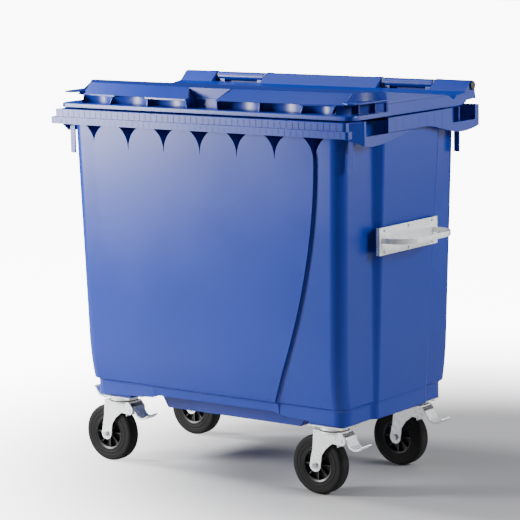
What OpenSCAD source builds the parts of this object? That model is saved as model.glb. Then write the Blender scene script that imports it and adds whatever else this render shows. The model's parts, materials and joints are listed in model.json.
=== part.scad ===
// Four-wheeled waste container with a flat lid, on braked swivel castors.
// Millimetres. X runs across the width, Y from the front to the back, Z up.
// The origin is on the ground under the middle of the container.

/* [Container] */
// Width across the rim's side bands
rim_w = 1234; // [1180:2:1400]
// Depth across the rim, front band to rear band
rim_d = 780; // [720:2:900]
// Height of the rim's top face above the ground
rim_h = 1240; // [1100:5:1400]
// Wall of the moulded container
wall = 5; // [4:0.5:6]
// Gap between the side bands and the corner posts, at the top
post_in = 57; // [50:1:65]
// Gap between the front band and the front wall, where the lifting comb goes
comb_gap = 44; // [40:1:55]
// How far each side wall leans in from the top to the bottom
side_draft = 26; // [10:1:40]
// How far the front wall leans in from the top to the bottom
front_draft = 16; // [6:1:30]
// Radius of the corner posts
post_r = 45; // [30:1:60]
// Underside of the container's skirt above the ground
skirt_z = 246; // [244:1:252]
// Height of the skirt
skirt_h = 57; // [40:1:80]
// How far the side panel stands out at the top
bulge_out = 32; // [20:1:38]

/* [Rim] */
// Height of the front bands together
band_h = 49; // [40:1:60]
// How far the upper front band is set back
band_step = 9; // [4:1:14]
// Thickness of the bands
band_t = 5; // [4:0.5:7]
// Height of the corner grip windows
grip_h = 49; // [35:1:55]
// Number of comb pockets under the front band
pocket_count = 7; // [3:2:7]
// Distance between comb pockets
pocket_pitch = 151.7; // [140:0.1:155]
// Width of a comb pocket at its top
pocket_w = 70; // [50:1:80]
// Depth of a comb pocket at its top
pocket_d = 32; // [20:1:36]

/* [Lid] */
// Height of the lid's raised front edge above the rim
lid_rise = 85; // [75:1:100]
// Thickness of the lid's skin
lid_t = 4; // [3:0.5:5]
// Gap between the rim and the lid's lower edge
lid_gap = 4; // [2:0.5:6]
// Distance from the rim's top up to the hinge axis
hinge_up = 64; // [60:1:72]
// Distance from the rear band in to the hinge axis
hinge_in = 25; // [22:1:28]
// Diameter of the hinge rods
rod_d = 16; // [12:1:18]

/* [Side handles] */
// Length of the handle plate
plate_l = 346; // [300:2:380]
// Height of the handle plate
plate_h = 90; // [70:2:110]
// Height of the handle plate's middle above the ground
plate_z = 840; // [700:5:900]
// Thickness of the handle plate
plate_t = 3; // [2:0.5:4]
// How far the handle loop reaches out from the plate
loop_out = 100; // [80:1:120]
// Thickness of the handle's flat bar
loop_t = 8; // [6:1:10]
// Width of the handle's flat bar
loop_b = 18; // [14:1:24]

/* [Castors] */
// Diameter of the wheels
wheel_d = 200; // [180:1:202]
// Width of the tyres
tyre_w = 50; // [40:1:52]
// Height of the castor's top plate above the ground
castor_h = 240; // [238:1:242]
// Trail of the wheel behind the swivel axis
trail = 55; // [45:1:58]
// Distance in from the rim to the swivel axes, across the width
castor_in_x = 172; // [162:1:187]
// Distance in from the rim to the swivel axes, front to back
castor_in_y = 151; // [149:1:154]
// Diameter of the king pins
pin_d = 16; // [12:1:18]
// Diameter of the wheel axles
axle_d = 12; // [10:1:14]

/* [Hidden] */
// The castors stand at a fixed distance in from the rim
castor_x = rim_w / 2 - castor_in_x;
castor_y = rim_d / 2 - castor_in_y;
CASTORS = ["fl", "fr", "bl", "br"];
SIDES = ["left", "right"];
CASTOR_PARTS = ["castor_plate", "king_pin", "swivel_seal", "fork", "axle",
    "roller_bearing", "wheel_centre", "tyre", "brake_pedal", "brake_shoe"];
$fn = 64;

BLUE = [0.13, 0.25, 0.62];
ZINC = [0.86, 0.87, 0.88];
STEEL = [0.7, 0.71, 0.72];
BLACK = [0.06, 0.06, 0.06];
TYRE = [0.16, 0.16, 0.16];
CREAM = [0.9, 0.86, 0.7];

// Clearances: turning fits, pieces that pass, and pieces that seat
run = 0.05;
pass = 0.4;

rim_x = rim_w / 2;
rim_y = rim_d / 2;
body_z = skirt_z + skirt_h;
wall_top = rim_h - band_t;
post_x = rim_x - post_in;
front_y = rim_y - comb_gap;
band_z = rim_h - band_h;

// ---- Container: outline at a height, then a loft through the heights ----
function up_share(z) = max(0, min(1, (z - body_z) / (wall_top - body_z)));
// The wall rolls in at its foot, over roll_h
roll_d = 16;
roll_h = 150;
function roll_in(z) = roll_d * pow(max(0, 1 - (z - body_z) / roll_h), 2);
function half_x(z) = post_x - side_draft * (1 - up_share(z));
function half_y(z) = front_y - front_draft * (1 - up_share(z)) - roll_in(z);
bulge_foot = 11;
function bulge(z) = bulge_foot + (bulge_out - bulge_foot) * up_share(z);
function bulge_front(z) = -130 - 16 * up_share(z);
function bulge_back(z) = 165 + 21 * up_share(z);
// Half-width of the raised front panel, whose edges curve in towards the bottom
panel_top = rim_h - 120;
function panel_share(z) = max(0, min(1, (z - body_z) / (panel_top - body_z)));
panel_foot = 267;
panel_flare = 189;
function panel_x(z) = panel_foot + panel_flare * (1 - pow(1 - panel_share(z), 1.85));
panel_raise = 8;

function quarter(cx, cy, r, a0, n = 4) =
    [for (i = [0:n]) [cx + r * cos(a0 + 90 * i / n), cy + r * sin(a0 + 90 * i / n)]];
// Right half of the outline, from the front to the back
function half_ring(hx, yf, yb, r, px, raise, out, z) = concat(
    [[px, -yf - raise], [px + 6, -yf]],
    quarter(hx - r, r - yf, r, -90),
    [[hx, bulge_front(z) - out], [hx + out, bulge_front(z)],
     [hx + out, bulge_back(z)], [hx, bulge_back(z) + out * 0.4]],
    quarter(hx - r, yb - r, r, 0));
function full_ring(h, z) = concat(
    [for (p = h) [p[0], p[1], z]],
    [for (i = [len(h) - 1:-1:0]) [-h[i][0], h[i][1], z]]);
function outer_ring(z) = full_ring(half_ring(half_x(z), half_y(z), half_y(z),
    post_r, panel_x(z), panel_raise * min(1, up_share(z) * 12), bulge(z), z), z);
// The skirt stands in from the body's foot by these, and its floor by a wall more
skirt_in = [7, 22];
function skirt_ring(z) = full_ring(half_ring(half_x(body_z) - skirt_in[0],
    half_y(body_z) - skirt_in[1], half_y(body_z) - skirt_in[1],
    post_r - 8, panel_x(body_z), 0.5, bulge(body_z) + 6, body_z), z);
function inner_ring(z) = full_ring(half_ring(half_x(z) - wall, half_y(z) - wall, half_y(z) - wall,
    post_r - wall, panel_x(z), 0.5, bulge(z), z), z);
function floor_ring(z) = full_ring(half_ring(half_x(body_z) - skirt_in[0] - wall - 2,
    half_y(body_z) - skirt_in[1] - wall, half_y(body_z) - skirt_in[1] - wall,
    post_r - 14, panel_x(body_z), 0.5, bulge(body_z), body_z), z);

LEVELS = concat([body_z + 2, body_z + 12, body_z + 32, body_z + 62, body_z + 107],
    [for (i = [0:6]) body_z + 160 + (wall_top - 21 - body_z - 160) * i / 6]);
INNER_LEVELS = [wall_top + 6, body_z + 500, body_z + 160, body_z + 60, body_z + 15];

module loft(rings) {
    n = len(rings[0]);
    k = len(rings);
    side = [for (j = [0:k - 2]) for (i = [0:n - 1])
        [j * n + i, j * n + (i + 1) % n, (j + 1) * n + (i + 1) % n, (j + 1) * n + i]];
    polyhedron(
        points = [for (r = rings) each r],
        faces = concat([for (f = side) [f[3], f[2], f[1]]], [for (f = side) [f[3], f[1], f[0]]],
            [[for (i = [0:n - 1]) i], [for (i = [n - 1:-1:0]) (k - 1) * n + i]]));
}
module container_outside() {
    loft(concat([skirt_ring(skirt_z), skirt_ring(body_z - 3)], [for (z = LEVELS) outer_ring(z)],
        [outer_ring(rim_h - 2)]));
}
module container_inside() {
    loft(concat([floor_ring(skirt_z + wall), floor_ring(body_z)],
        [for (i = [len(INNER_LEVELS) - 1:-1:0]) inner_ring(INNER_LEVELS[i])]));
}

// ---- Rim: top flange, front and rear bands, waved side bands ----
grip_front = [-290, -163];
grip_back = [221, 366];
rim_corner = [rim_x - 42, -rim_y + 15];
side_start = -300;
grip_bar = 14;
rear_y = rim_y;
// Lower edge of the side band: high in the middle, low at the grips
function side_edge(y) = band_z - 34 + 37 * (0.5 + 0.5 * cos(180 * (y - 43) / (y < 43 ? 293 : 247)));
SIDE_STEPS = [for (i = [0:16]) side_start + (rear_y - side_start) * i / 16];

module rim_plan(inset) {
    x = rim_x - inset;
    polygon([[-rim_corner[0] + inset, -rim_y + inset], [rim_corner[0] - inset, -rim_y + inset],
        [x, side_start], [x, rear_y - inset], [-x, rear_y - inset], [-x, side_start]]);
}
module side_profile(low, high) {
    rotate([90, 0, 90]) linear_extrude(band_t)
        polygon(concat([for (y = SIDE_STEPS) [y, low == 0 ? side_edge(y) : low]],
            [[rear_y, high], [side_start, high]]));
}
module grip_bar_at(range) {
    y0 = range[0] - 6;
    y1 = range[1] + 6;
    mid = side_edge((y0 + y1) / 2);
    translate([rim_x - grip_bar, y0, mid + 6]) cube([grip_bar, y1 - y0, band_z - mid - 6]);
}
module rim_side() {
    translate([rim_x - band_t, 0, 0]) side_profile(0, rim_h);
    for (g = [grip_front, grip_back]) grip_bar_at(g);
    // Slanted corner face between the front band and the side band
    linear_extrude_between(side_edge(side_start), rim_h)
        polygon([[rim_corner[0], rim_corner[1]], [rim_x, side_start], [rim_x - band_t, side_start],
            [rim_corner[0] - band_t, rim_corner[1] + 2]]);
}
module linear_extrude_between(z0, z1) {
    translate([0, 0, z0]) linear_extrude(z1 - z0) children();
}
module rim_flange() {
    linear_extrude_between(wall_top, rim_h) union() {
        rim_plan(0);
        translate([-rim_x + 4, -rim_y + band_step]) square([rim_w - 8, 90]);
    }
}
module front_bands() {
    low_top = band_z + band_h * 0.47;
    w = rim_x - 4;
    linear_extrude_between(band_z, low_top) translate([-w, -rim_y]) square([2 * w, band_t]);
    linear_extrude_between(low_top - band_t, low_top)
        translate([-w, -rim_y]) square([2 * w, band_step + band_t]);
    linear_extrude_between(low_top - band_t, rim_h)
        translate([-w + 14, -rim_y + band_step]) square([2 * (w - 14), band_t]);
    for (s = [-1, 1]) linear_extrude_between(band_z, rim_h)
        translate([s * (w - band_t / 2) - band_t / 2 - (s > 0 ? 14 : -14), -rim_y + band_step])
            square([band_t, 60]);
}
fin_h = 155;
fin_out = 28;
fin_t = 6;
fin_front = -318;
module fin(y) {
    translate([post_x - wall, y, rim_h - fin_h]) cube([fin_out + wall, fin_t, fin_h - band_t]);
}
module rim() {
    rim_flange();
    front_bands();
    linear_extrude_between(band_z, rim_h) translate([-rim_x, rear_y - band_t]) square([rim_w, band_t]);
    for (m = [0, 1]) mirror([m, 0, 0]) {
        rim_side();
        fin(fin_front);
        fin(front_y - post_r + 8);
    }
}
module grip_windows() {
    for (m = [0, 1]) mirror([m, 0, 0]) for (g = [grip_front, grip_back])
        translate([post_x + bulge_out * 0.2, g[0], rim_h - grip_h])
            cube([rim_x, g[1] - g[0], grip_h + 1]);
}

// ---- Comb pockets: a pointed recess, widest at the top ----
function pocket_ring(t, grow) = let (w = pocket_w / 2 * pow(t, 1.5) + grow, d = pocket_d * pow(t, 1.2) + grow)
    [[-w, 0], [w, 0], [0, d]];
module pocket(grow) {
    z0 = rim_h - 112;
    rings = [for (t = [0.1, 0.35, 0.7, 1]) let (z = z0 + 58 * t, y = -half_y(z) - panel_raise - 2)
        [for (p = pocket_ring(t, grow)) [p[0], y + p[1] + panel_raise, z]]];
    ahead = [0, -30, 0];
    front = [for (r = rings) [r[0] + ahead, r[1] + ahead, r[1], r[2], r[0]]];
    loft(grow > 0 ? rings : front);
}
module at_pockets() {
    for (i = [0:pocket_count - 1]) translate([(i - (pocket_count - 1) / 2) * pocket_pitch, 0, 0]) children();
}

// ---- Sump with its drain, castor pads, handle bosses and hinge posts ----
sump_x = 282;
sump_y = 199;
sump_z = 203;
drain_d = 70;
drain_y = 0;
drain_recess = 10;
module sump(inset, top) {
    rotate([90, 0, 0]) linear_extrude(2 * (sump_y - inset), center = true)
        polygon([[-sump_x + inset, sump_z + inset], [sump_x - inset, sump_z + inset],
            [sump_x + 30 - inset, top], [-sump_x - 30 + inset, top]]);
}
module drain_outside() {
    translate([0, drain_y, sump_z]) cylinder(d = drain_d + 36, h = drain_recess + wall);
}
module drain_inside() {
    translate([0, drain_y, sump_z - 1]) cylinder(d = drain_d + 24, h = drain_recess + 1);
    translate([0, drain_y, sump_z]) cylinder(d = drain_d, h = 40);
}
bolt_dx = 105;
bolt_dy = 70;
bolt_d = 10;
plate_lx = 135;
plate_ly = 110;
plate_th = 4;
module at_castors() {
    for (x = [-1, 1]) for (y = [-1, 1]) translate([x * castor_x, y * castor_y, 0]) children();
}
module at_bolts() {
    at_castors() for (x = [-1, 1]) for (y = [-1, 1])
        translate([x * bolt_dx / 2, y * bolt_dy / 2, 0]) children();
}
module castor_pads() {
    at_castors() translate([-plate_lx / 2 - 4, -plate_ly / 2 + 8, castor_h])
        cube([plate_lx + 8, plate_ly - 16, skirt_z + wall - 1 - castor_h]);
}
rivet_y = [-152, -10, 134];
rivet_dz = 71;
plate_x = half_x(plate_z) + bulge(plate_z) + 18;
plate_y0 = -7 - plate_l / 2;
module handle_bosses() {
    for (y = rivet_y) translate([half_x(plate_z) + bulge(plate_z) - 8, y - 14, plate_z - plate_h / 2 + 3])
        cube([plate_x - plate_t - half_x(plate_z) - bulge(plate_z) + 8, 28, plate_h - 6]);
}
hinge_y = rim_y - hinge_in;
hinge_z = rim_h + hinge_up;
recess_x = [247, 464];
ear_w = 28;
ear_gap = 9;
barrel_r = 16;
module hinge_posts() {
    for (x = [recess_x[0] + ear_gap, recess_x[1] - ear_gap - ear_w])
        translate([x, hinge_y - 13, rim_h - band_t]) cube([ear_w, 26, hinge_up + band_t]);
    translate([recess_x[0] + ear_gap, hinge_y, hinge_z]) rotate([0, 90, 0])
        cylinder(r = barrel_r, h = recess_x[1] - recess_x[0] - 2 * ear_gap);
}
module rod_hole(d) {
    for (m = [0, 1]) mirror([m, 0, 0]) translate([recess_x[0] - 60, hinge_y, hinge_z])
        rotate([0, 90, 0]) cylinder(d = d, h = rim_x);
}
// A blind slot in each side of the skirt
slot_y = -240;
slot_size = [60, 12, 26];
// Rivets in the handle bosses
rivet_d = 6;
rivet_bore = 20;
module at_rivets(back) {
    for (y = rivet_y) for (s = [-1, 1])
        translate([plate_x - back, y, plate_z + s * rivet_dz / 2]) rotate([0, 90, 0]) children();
}

module body() {
    color(BLUE) difference() {
        union() {
            difference() {
                union() {
                    container_outside();
                    sump(0, skirt_z + wall - 1);
                    castor_pads();
                    for (m = [0, 1]) mirror([m, 0, 0]) handle_bosses();
                    rim();
                }
                container_inside();
                sump(wall, skirt_z + wall + 1);
            }
            intersection() {
                at_pockets() pocket(4);
                container_outside();
            }
            drain_outside();
            for (m = [0, 1]) mirror([m, 0, 0]) hinge_posts();
        }
        at_pockets() pocket(0);
        grip_windows();
        drain_inside();
        at_bolts() translate([0, 0, castor_h - 1]) cylinder(d = bolt_d, h = 30);
        rod_hole(rod_d + 2 * run);
        for (m = [0, 1]) mirror([m, 0, 0]) {
            translate([half_x(body_z) - skirt_in[0] - wall, slot_y - slot_size[1] / 2, skirt_z - 1])
                cube(slot_size);
            at_rivets(rivet_bore) cylinder(d = rivet_d, h = rivet_bore);
        }
    }
}

// ---- Lid: a side profile drawn through the plan outline ----
lid_z = rim_h + lid_gap;
lid_top = rim_h + lid_rise;
lid_x = rim_x - 8;
lid_front = -rim_y + 39;
lip_z = lid_z + 44;
ridge_top = hinge_z + 16.5;
ridge_back = rim_y;
LID_OUT = [[lid_front, lid_z], [lid_front, lid_z + 12], [lid_front + 56, lid_z + 14],
    [lid_front + 76, lip_z - 4], [lid_front + 30, lip_z - 4], [lid_front + 30, lip_z],
    [lid_front + 78, lid_top], [hinge_y - 155, rim_h + 42], [hinge_y - 48, rim_h + 46],
    [hinge_y - 11, ridge_top], [hinge_y + 12, ridge_top], [ridge_back, rim_h + 18],
    [hinge_y - 40, rim_h + 16], [hinge_y - 67, lid_z]];
module lid_plan(inset) {
    x = lid_x - inset;
    y = lid_front + inset;
    polygon([[-x + 31, y], [x - 31, y], [x, y + 40], [x, ridge_back + 1], [-x, ridge_back + 1], [-x, y + 40]]);
}
module upper_plan(inset) {
    x = lid_x - inset;
    polygon([[-542 + inset, lid_front + inset], [542 - inset, lid_front + inset],
        [542 - inset, lid_front + 96], [x, lid_front + 178], [x, ridge_back + 1],
        [-x, ridge_back + 1], [-x, lid_front + 178], [-542 + inset, lid_front + 96]]);
}
module lid_prism(outline) {
    rotate([90, 0, 90]) linear_extrude(rim_w + 20, center = true) polygon(outline);
}
module lid_solid(inset) {
    // A wide flange below, and the raised top with its cut corners above
    intersection() {
        children();
        union() {
            linear_extrude_between(lid_z - 20, lid_z + 14 - inset) lid_plan(inset);
            linear_extrude_between(lid_z, lid_top + 40) upper_plan(inset);
        }
    }
}
LID_IN = [[lid_front + lid_t, lid_z - 10], [lid_front + lid_t, lid_z + 12 - lid_t],
    [lid_front + 58, lid_z + 14 - lid_t], [lid_front + 82, lip_z - 4], [lid_front + 82, lid_top - 6],
    [hinge_y - 155, rim_h + 42 - lid_t], [hinge_y - 46, rim_h + 46 - lid_t],
    [hinge_y - 9, ridge_top - lid_t], [hinge_y + 9, ridge_top - lid_t], [ridge_back - 5, rim_h + 18],
    [ridge_back - 5, lid_z - 10]];
lid_ribs = [232, 395, 518];
notch_x = 62;
end_cap_t = 6;
module lid_bore_blocks() {
    // Solid ends for the bushes and for the rod's outer end
    for (x = [[recess_x[0] - 30, 30], [recess_x[1], 30], [lid_x - 34, 30]])
        translate([x[0], 0, 0]) intersection() {
            rotate([90, 0, 90]) linear_extrude(x[1]) polygon(LID_OUT);
            translate([-1, hinge_y - 30, hinge_z - 30]) cube([x[1] + 2, 80, 60]);
        }
}
module lid() {
    color(BLUE) difference() {
        union() {
            difference() {
                lid_solid(0) lid_prism(LID_OUT);
                lid_solid(lid_t) lid_prism(LID_IN);
            }
            for (m = [0, 1]) mirror([m, 0, 0]) lid_bore_blocks();
            for (s = [-1, 1]) for (x = lid_ribs)
                translate([s * x - 2, lid_front + 16, lid_z + 10]) cube([4, 62, lip_z - lid_z - 13]);
        }
        translate([-notch_x, lid_front - 1, lid_z + 16]) cube([2 * notch_x, 62, 52]);
        for (m = [0, 1]) mirror([m, 0, 0])
            translate([recess_x[0], hinge_y - 40, lid_z - 1]) cube([recess_x[1] - recess_x[0], 90, 120]);
        for (m = [0, 1]) mirror([m, 0, 0]) {
            for (x = [recess_x[0] - 31, recess_x[1] - 1]) translate([x, hinge_y, hinge_z])
                rotate([0, 90, 0]) cylinder(d = bush_d, h = 32);
            translate([lid_x - 40, hinge_y, hinge_z]) rotate([0, 90, 0])
                cylinder(d = rod_d + 2 * run, h = 60);
            translate([lid_x - 4, hinge_y - 40, rim_h]) cube([20, 90, 100]);
        }
    }
}

// ---- Hinge pieces ----
bush_d = rod_d + 6;
module hinge_bush() {
    difference() {
        union() {
            cylinder(d = bush_d, h = 25);
            translate([0, 0, 25]) cylinder(d = bush_d + 5, h = ear_gap - pass);
        }
        translate([0, 0, -1]) cylinder(d = rod_d + 2 * run, h = 60);
    }
}
module hinge_bushes() {
    color(CREAM) for (m = [0, 1]) mirror([m, 0, 0]) {
        translate([recess_x[0] - 25, hinge_y, hinge_z]) rotate([0, 90, 0]) hinge_bush();
        translate([recess_x[1] + 25, hinge_y, hinge_z]) rotate([0, -90, 0]) hinge_bush();
    }
}
module hinge_rod() {
    color(STEEL) translate([recess_x[0] - 29, hinge_y, hinge_z]) rotate([0, 90, 0])
        cylinder(d = rod_d, h = lid_x - 4 + pass - recess_x[0] + 29);
}
module hinge_end_caps() {
    color(BLACK) for (m = [0, 1]) mirror([m, 0, 0]) translate([lid_x - 4 + pass, hinge_y, hinge_z])
        rotate([0, 90, 0]) {
            cylinder(d = 31, h = end_cap_t - 2);
            translate([0, 0, end_cap_t - 2]) cylinder(d1 = 31, d2 = 26, h = 2, $fn = 64);
        }
}

// ---- Drain: a quarter-turn plug in the recess of the sump's floor ----
module drain_plug() {
    color(BLACK) translate([0, drain_y, 0]) {
        translate([0, 0, sump_z + 3]) cylinder(d = drain_d + 16, h = drain_recess - 3 - seal_t - pass);
        translate([0, 0, sump_z + 3]) cylinder(d = drain_d - 2, h = drain_recess + 5);
        for (a = [0, 180]) rotate(a) translate([drain_d / 2 - 12, -7, sump_z + drain_recess + wall + pass])
            cube([18, 14, 5]);
        translate([-12, -9, sump_z + drain_recess]) cube([24, 18, 11]);
        translate([-drain_d / 2 + 12, -9, sump_z + drain_recess + wall + pass]) cube([drain_d - 24, 18, 5]);
    }
}
seal_t = 3;
module drain_seal() {
    color(BLACK) translate([0, drain_y, sump_z + drain_recess - seal_t]) difference() {
        cylinder(d = drain_d + 14, h = seal_t);
        translate([0, 0, -1]) cylinder(d = drain_d + 1, h = seal_t + 2);
    }
}

// ---- Side handles ----
module handle_plate() {
    color(ZINC) difference() {
        union() {
            translate([plate_x - plate_t, plate_y0, plate_z - plate_h / 2]) cube([plate_t, plate_l, plate_h]);
            for (y = [plate_y0, plate_y0 + plate_l - plate_t])
                translate([plate_x - 13, y, plate_z - plate_h / 2]) cube([13, plate_t, plate_h]);
        }
        at_rivets(rivet_bore / 2) cylinder(d = rivet_d, h = rivet_bore);
    }
}
loop_y = [-162, 142];
loop_r = 78;
module handle_loop() {
    w = loop_y[1] - loop_y[0] + loop_t;
    r = min(loop_r, loop_out - 12);
    color(ZINC) translate([plate_x, loop_y[0] - loop_t / 2, plate_z + 3 - loop_b / 2])
        linear_extrude(loop_b) difference() {
            loop_plan(loop_out, w, r);
            translate([-1, loop_t]) loop_plan(loop_out - loop_t + 1, w - 2 * loop_t, r - loop_t);
        }
}
// Only the half of each corner circle in front of the plate is kept
module loop_plan(out, w, r) {
    intersection() {
        square([out, w]);
        union() {
            square([out - r, w]);
            translate([0, r]) square([out, w - 2 * r]);
            for (y = [r, w - r]) translate([out - r, y]) circle(r = r);
        }
    }
}
rivet_l = 14;
rivet_head = 11;
module handle_rivets() {
    color(STEEL) at_rivets(rivet_l) {
        cylinder(d = rivet_d, h = rivet_l);
        translate([0, 0, rivet_l]) cylinder(d1 = rivet_head, d2 = rivet_head - 4, h = 2.5);
    }
}

// ---- Castor: drawn with its swivel axis on Z and the wheel trailing to -X ----
crown_z = castor_h - 20;
crown_t = 5;
fork_in = tyre_w + 12;
leg_t = 4;
wheel_r = wheel_d / 2;
dish_r = 48;
race_r = 30;
ball_d = 9.5;
ball_r = 38.5;
pedal_p = [50, crown_z - 28];
shoe_p = [24, crown_z - 20];
pivot_d = 8;
plate_bottom = castor_h - plate_th;

module castor_plate() {
    color(ZINC) difference() {
        union() {
            translate([-plate_lx / 2, -plate_ly / 2, plate_bottom]) cube([plate_lx, plate_ly, plate_th]);
            translate([0, 0, crown_z + 4]) cylinder(r = dish_r, h = plate_bottom - crown_z - 4);
        }
        translate([0, 0, crown_z + 3]) cylinder(r = dish_r - 4, h = plate_bottom - crown_z - 3);
        translate([0, 0, crown_z]) cylinder(d = pin_d, h = 30);
        for (x = [-1, 1]) for (y = [-1, 1]) translate([x * bolt_dx / 2, y * bolt_dy / 2, crown_z])
            cylinder(d = bolt_d, h = 30);
    }
}
module king_pin() {
    color(STEEL) {
        translate([0, 0, crown_z - crown_t - pass - 8]) cylinder(d = pin_d + 12, h = 8);
        translate([0, 0, crown_z - crown_t - pass - 8])
            cylinder(d = pin_d, h = castor_h - crown_z + crown_t + pass + 8);
    }
}
module swivel_seal() {
    color(BLACK) translate([0, 0, crown_z]) difference() {
        cylinder(r = dish_r + 1, h = 4 - pass);
        translate([0, 0, -1]) cylinder(r = dish_r - 6, h = 6);
    }
}
module swivel_balls() {
    color(STEEL) at_castors() for (i = [0:11]) rotate(30 * i)
        translate([ball_r, 0, (crown_z + 6 + plate_bottom) / 2]) sphere(d = ball_d, $fn = 32);
}
module leg_outline() {
    r = 21;
    difference() {
        union() {
            translate([-trail, wheel_r]) circle(r = r);
            polygon([[-trail - r, wheel_r + 1], [-trail + r, wheel_r + 1], [-29, wheel_r + 36],
                [-12, wheel_r + 60], [14, crown_z - 39], [40, crown_z - 42], [56, crown_z - 42],
                [64, crown_z - 34], [64, crown_z - 20], [48, crown_z], [-60, crown_z], [-64, wheel_r + 60]]);
        }
        translate([-trail, wheel_r]) circle(d = axle_d);
    }
}
module fork() {
    color(ZINC) difference() {
        union() {
            for (s = [-1, 1]) translate([0, s * (fork_in / 2 + leg_t / 2), 0]) rotate([90, 0, 0])
                linear_extrude(leg_t, center = true) leg_outline();
            translate([-63, -fork_in / 2 - leg_t, crown_z - crown_t]) cube([111, fork_in + 2 * leg_t, crown_t]);
            translate([0, 0, crown_z - crown_t]) cylinder(r = dish_r + 2, h = crown_t);
            translate([0, 0, crown_z]) cylinder(r = race_r, h = plate_bottom - crown_z - 2);
            translate([0, 0, crown_z]) cylinder(r = dish_r - 6 - pass, h = 6);
            for (p = [pedal_p, shoe_p]) translate([p[0], 0, p[1]]) rotate([90, 0, 0])
                cylinder(d = pivot_d, h = fork_in + 2 * leg_t + 4, center = true);
        }
        translate([0, 0, crown_z - 20]) cylinder(d = pin_d + 2 * run, h = 40);
    }
}
module axle() {
    w = fork_in / 2 + leg_t;
    color(STEEL) translate([-trail, 0, wheel_r]) rotate([90, 0, 0]) {
        cylinder(d = axle_d, h = 2 * w + 20, center = true);
        for (s = [-1, 1]) translate([0, 0, s * (w + 4)]) cylinder(d = 20.8, h = 8, center = true, $fn = 6);
        difference() {
            cylinder(d = axle_d + 5, h = fork_in, center = true);
            cylinder(d = axle_d - 1, h = fork_in + 1, center = true);
        }
    }
}
module roller_bearing() {
    color(CREAM) translate([-trail, 0, wheel_r]) rotate([90, 0, 0]) difference() {
        cylinder(d = axle_d + 13, h = tyre_w + 4, center = true);
        cylinder(d = axle_d + 5 + 2 * run, h = tyre_w + 6, center = true);
    }
}
hub_r = 19;
rim_in = wheel_r * 0.52;
rim_out = wheel_r * 0.64;
module wheel_centre() {
    color(BLACK) translate([-trail, 0, wheel_r]) rotate([90, 0, 0]) {
        difference() {
            union() {
                cylinder(r = hub_r, h = tyre_w + 4, center = true);
                cylinder(r = rim_in + 1, h = 6, center = true);
                for (i = [0:7]) rotate(45 * i) translate([hub_r - 2, -2, -tyre_w / 2 + 8])
                    cube([rim_in - hub_r + 3, 4, tyre_w - 16]);
            }
            cylinder(d = axle_d + 13, h = tyre_w + 6, center = true);
        }
        rotate_extrude() polygon([[rim_in, -tyre_w / 2 + 4], [rim_in + 6, -tyre_w / 2 + 1], [rim_in + 6, -14],
            [rim_out, -14], [rim_out, 14], [rim_in + 6, 14], [rim_in + 6, tyre_w / 2 - 1],
            [rim_in, tyre_w / 2 - 4]]);
    }
}
module tyre() {
    h = tyre_w / 2;
    color(TYRE) translate([-trail, 0, wheel_r]) rotate([90, 0, 0]) rotate_extrude($fn = 96)
        polygon(concat([[rim_out, -14], [rim_in + 6, -14], [rim_in + 6, -h + 3], [wheel_r * 0.75, -h]],
            [for (a = [-80:20:80]) [wheel_r - 10 + 10 * cos(a), (h - 10) * sign(a) + 10 * sin(a)]],
            [[wheel_r * 0.75, h], [rim_in + 6, h - 3], [rim_in + 6, 14], [rim_out, 14]]));
}
// Pedal: a hub on its pivot, a short toe that pushes the shoe, and a foot scoop
module brake_pedal() {
    x = pedal_p[0];
    z = pedal_p[1];
    w = fork_in - 8;
    color(ZINC) difference() {
        union() {
            translate([x, 0, z]) rotate([90, 0, 0]) cylinder(r = 8, h = w, center = true);
            rotate([90, 0, 0]) linear_extrude(w, center = true)
                polygon([[x - 19, z - 12], [x - 4, z - 6], [x - 5, z + 4], [x - 20, z - 6]]);
            rotate([90, 0, 0]) linear_extrude(w, center = true) polygon([[x + 5.5, z + 4], [x + 5, z + 9],
                [x + 12, z + 12], [x + 18, z + 2], [x + 30, z - 16], [x + 44, z - 23],
                [x + 58, z - 22], [x + 70, z - 14], [x + 76, z - 10], [x + 77, z - 14], [x + 70, z - 20],
                [x + 60, z - 27], [x + 42, z - 29], [x + 26, z - 22], [x + 12, z - 4], [x + 5.5, z - 4]]);
        }
        translate([x, 0, z]) rotate([90, 0, 0]) cylinder(d = pivot_d + 2 * run, h = 90, center = true);
    }
}
module brake_shoe() {
    x = shoe_p[0];
    z = shoe_p[1];
    color(STEEL) difference() {
        union() {
            translate([x, 0, z]) rotate([90, 0, 0]) cylinder(r = 6.5, h = fork_in - 22, center = true);
            rotate([90, 0, 0]) linear_extrude(fork_in - 22, center = true)
                polygon([[x - 3, z - 5], [x + 4, z - 5],
                [x + 4, z - 33.2], [x - 1, z - 34.2], [x - 2.5, z - 28]]);
        }
        translate([x, 0, z]) rotate([90, 0, 0]) cylinder(d = pivot_d + 2 * run, h = 90, center = true);
    }
}

// ---- Fasteners under the skirt ----
module castor_bolts() {
    color(CREAM) at_bolts() {
        translate([0, 0, plate_bottom - 7]) cylinder(d = 18.5, h = 7, $fn = 6);
        translate([0, 0, plate_bottom - 7]) cylinder(d = bolt_d, h = skirt_z + wall - plate_bottom + 7 + 12);
    }
}
module castor_nuts() {
    color(STEEL) at_bolts() translate([0, 0, skirt_z + wall]) difference() {
        cylinder(d = 19, h = 8, $fn = 6);
        translate([0, 0, -1]) cylinder(d = bolt_d, h = 10);
    }
}

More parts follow.
